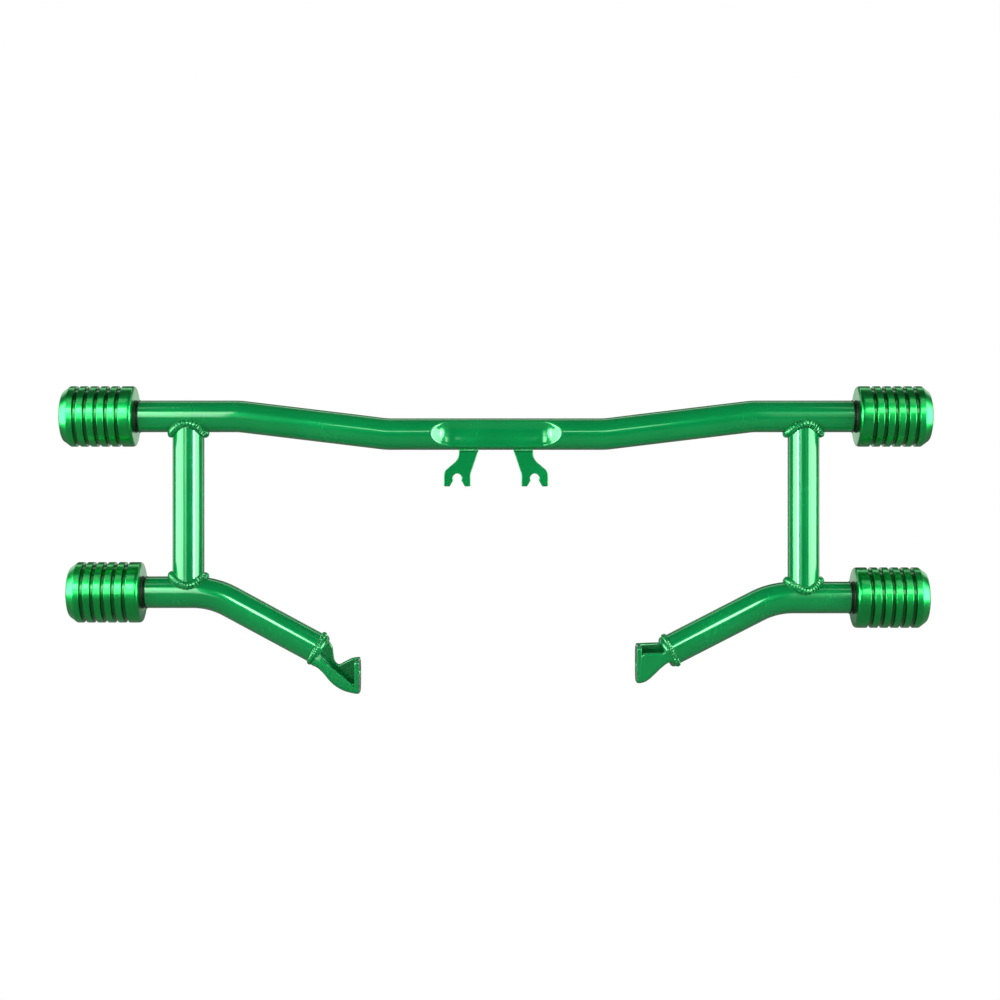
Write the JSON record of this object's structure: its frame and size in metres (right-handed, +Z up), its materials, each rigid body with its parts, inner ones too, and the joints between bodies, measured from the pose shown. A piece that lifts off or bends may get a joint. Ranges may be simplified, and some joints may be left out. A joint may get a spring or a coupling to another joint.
{
  "type": "motorcycle crash bar",
  "caption": "Welded tube engine guard with posts, angled lower arms, bolt-on end lugs, slotted fork tabs and grooved slider pucks on its tube ends.",
  "frame": {"origin": "midway between the centres of the two fork slots, at the middle of the tabs' thickness", "axes": "+X to the viewer's right along the bar, +Y away from the viewer, which is rearwards on the machine, and +Z up"},
  "size_m": [0.8656, 0.0604, 0.3063],
  "materials": {
    "frame_paint": "gloss green powder coat over steel tube",
    "weld_paint": "gloss green powder coat over weld beads",
    "slider_anodised": "turned aluminium, satin green anodised",
    "collar_rubber": "satin black moulded ring",
    "boss_steel": "turned bare steel",
    "bolt_steel": "stainless socket-head bolt and washer"
  },
  "bodies": {
    "root": {"upper_bar": "frame_paint", "left_post": "frame_paint", "right_post": "frame_paint", "left_lower_arm": "frame_paint", "right_lower_arm": "frame_paint", "left_fork_tab": "frame_paint", "right_fork_tab": "frame_paint", "left_frame_lug": "frame_paint", "right_frame_lug": "frame_paint", "left_post_top_weld": "weld_paint", "right_post_top_weld": "weld_paint", "left_post_foot_weld": "weld_paint", "right_post_foot_weld": "weld_paint", "left_fork_tab_weld": "weld_paint", "right_fork_tab_weld": "weld_paint", "left_lug_weld": "weld_paint", "right_lug_weld": "weld_paint", "upper_left_slider": "slider_anodised", "upper_right_slider": "slider_anodised", "lower_left_slider": "slider_anodised", "lower_right_slider": "slider_anodised", "upper_left_collar": "collar_rubber", "upper_right_collar": "collar_rubber", "lower_left_collar": "collar_rubber", "lower_right_collar": "collar_rubber", "upper_left_boss": "boss_steel", "upper_right_boss": "boss_steel", "lower_left_boss": "boss_steel", "lower_right_boss": "boss_steel", "upper_left_bolt": "bolt_steel", "upper_right_bolt": "bolt_steel", "lower_left_bolt": "bolt_steel", "lower_right_bolt": "bolt_steel", "upper_left_washer": "bolt_steel", "upper_right_washer": "bolt_steel", "lower_left_washer": "bolt_steel", "lower_right_washer": "bolt_steel"}
  },
  "joints": []
}
